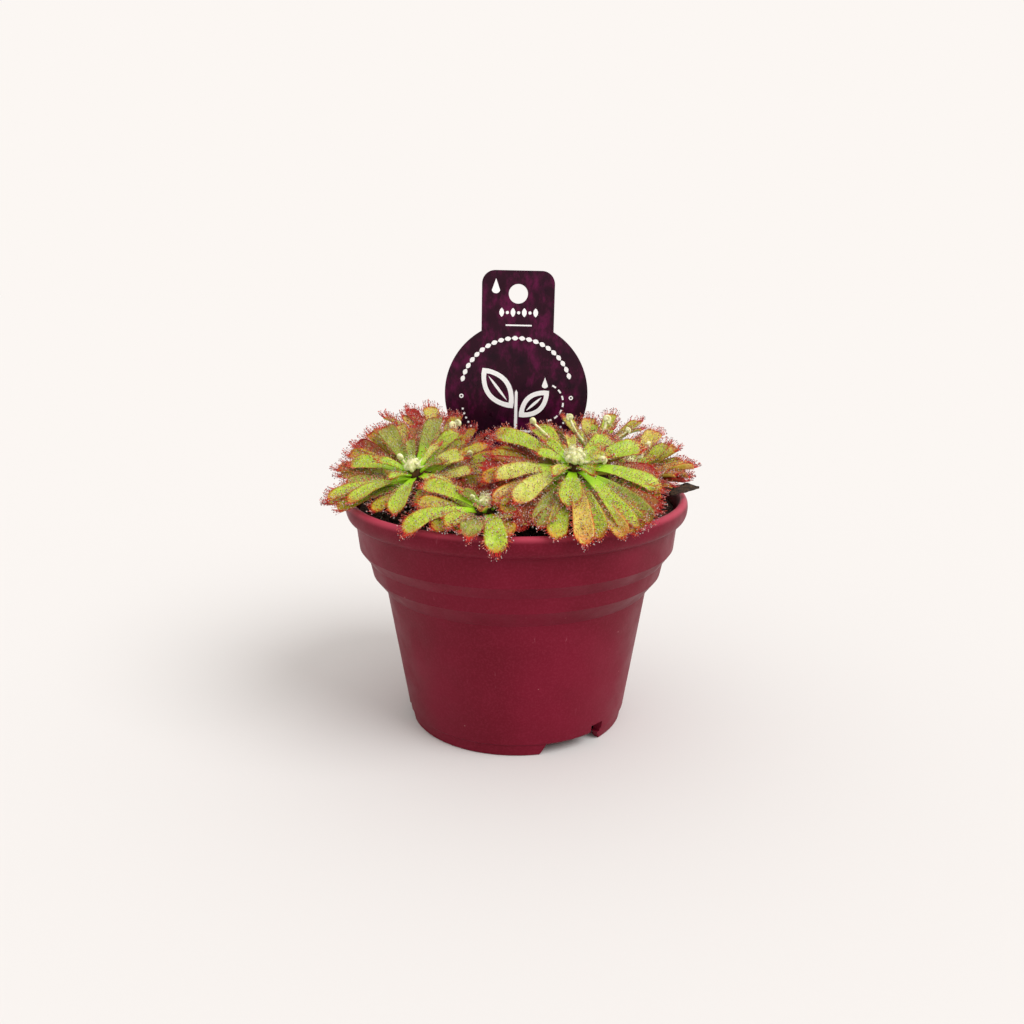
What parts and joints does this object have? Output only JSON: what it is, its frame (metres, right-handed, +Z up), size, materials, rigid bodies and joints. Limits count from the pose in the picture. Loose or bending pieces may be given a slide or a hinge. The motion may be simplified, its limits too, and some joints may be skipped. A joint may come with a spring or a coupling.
{
  "type": "potted sundew",
  "caption": "Clump of spoon-leaved sundew rosettes in a round nine-centimetre nursery pot of peat, with a pushed-in plant label.",
  "frame": {"origin": "on the ground under the middle of the plant's overall outline, on the pot's axis", "axes": "+Z up along the pot's axis, -Y towards the front of the label"},
  "size_m": [0.0936, 0.0948, 0.1191],
  "materials": {
    "pot_plastic": "satin moulded polypropylene, burgundy",
    "label_plastic": "semi-gloss printed plastic sheet, dark purple with a white print",
    "peat": "moist dark peat with fibres and white grit",
    "leaf": "waxy lime green, red at the margins, dewy",
    "crown": "pale green buds on a brown stem",
    "dead_leaf": "dry, brown"
  },
  "bodies": {
    "root": {"back_left_rosette_crown": "crown", "back_left_rosette_leaf_01": "leaf", "back_left_rosette_leaf_02": "leaf", "back_left_rosette_leaf_03": "leaf", "back_left_rosette_leaf_04": "leaf", "back_right_rosette_crown": "crown", "back_right_rosette_leaf_01": "leaf", "back_right_rosette_leaf_02": "leaf", "back_right_rosette_leaf_03": "leaf", "back_right_rosette_leaf_04": "leaf", "back_right_rosette_leaf_05": "leaf", "back_rosette_crown": "crown", "back_rosette_leaf_01": "leaf", "back_rosette_leaf_02": "leaf", "back_rosette_leaf_03": "leaf", "back_rosette_leaf_04": "leaf", "dead_leaf": "dead_leaf", "front_rosette_crown": "crown", "front_rosette_leaf_01": "leaf", "front_rosette_leaf_02": "leaf", "front_rosette_leaf_03": "leaf", "front_rosette_leaf_04": "leaf", "front_rosette_leaf_05": "leaf", "front_rosette_leaf_06": "leaf", "label": "label_plastic", "left_rosette_crown": "crown", "left_rosette_leaf_01": "leaf", "left_rosette_leaf_02": "leaf", "left_rosette_leaf_03": "leaf", "left_rosette_leaf_04": "leaf", "left_rosette_leaf_05": "leaf", "left_rosette_leaf_06": "leaf", "left_rosette_leaf_07": "leaf", "left_rosette_leaf_08": "leaf", "left_rosette_leaf_09": "leaf", "left_rosette_leaf_10": "leaf", "left_rosette_leaf_11": "leaf", "left_rosette_leaf_12": "leaf", "pot": "pot_plastic", "right_rosette_crown": "crown", "right_rosette_leaf_01": "leaf", "right_rosette_leaf_02": "leaf", "right_rosette_leaf_03": "leaf", "right_rosette_leaf_04": "leaf", "right_rosette_leaf_05": "leaf", "right_rosette_leaf_06": "leaf", "right_rosette_leaf_07": "leaf", "right_rosette_leaf_08": "leaf", "right_rosette_leaf_09": "leaf", "right_rosette_leaf_10": "leaf", "right_rosette_leaf_11": "leaf", "right_rosette_leaf_12": "leaf", "side_rosette_crown": "crown", "side_rosette_leaf_01": "leaf", "side_rosette_leaf_02": "leaf", "side_rosette_leaf_03": "leaf", "side_rosette_leaf_04": "leaf", "side_rosette_leaf_05": "leaf", "soil": "peat"}
  },
  "joints": []
}
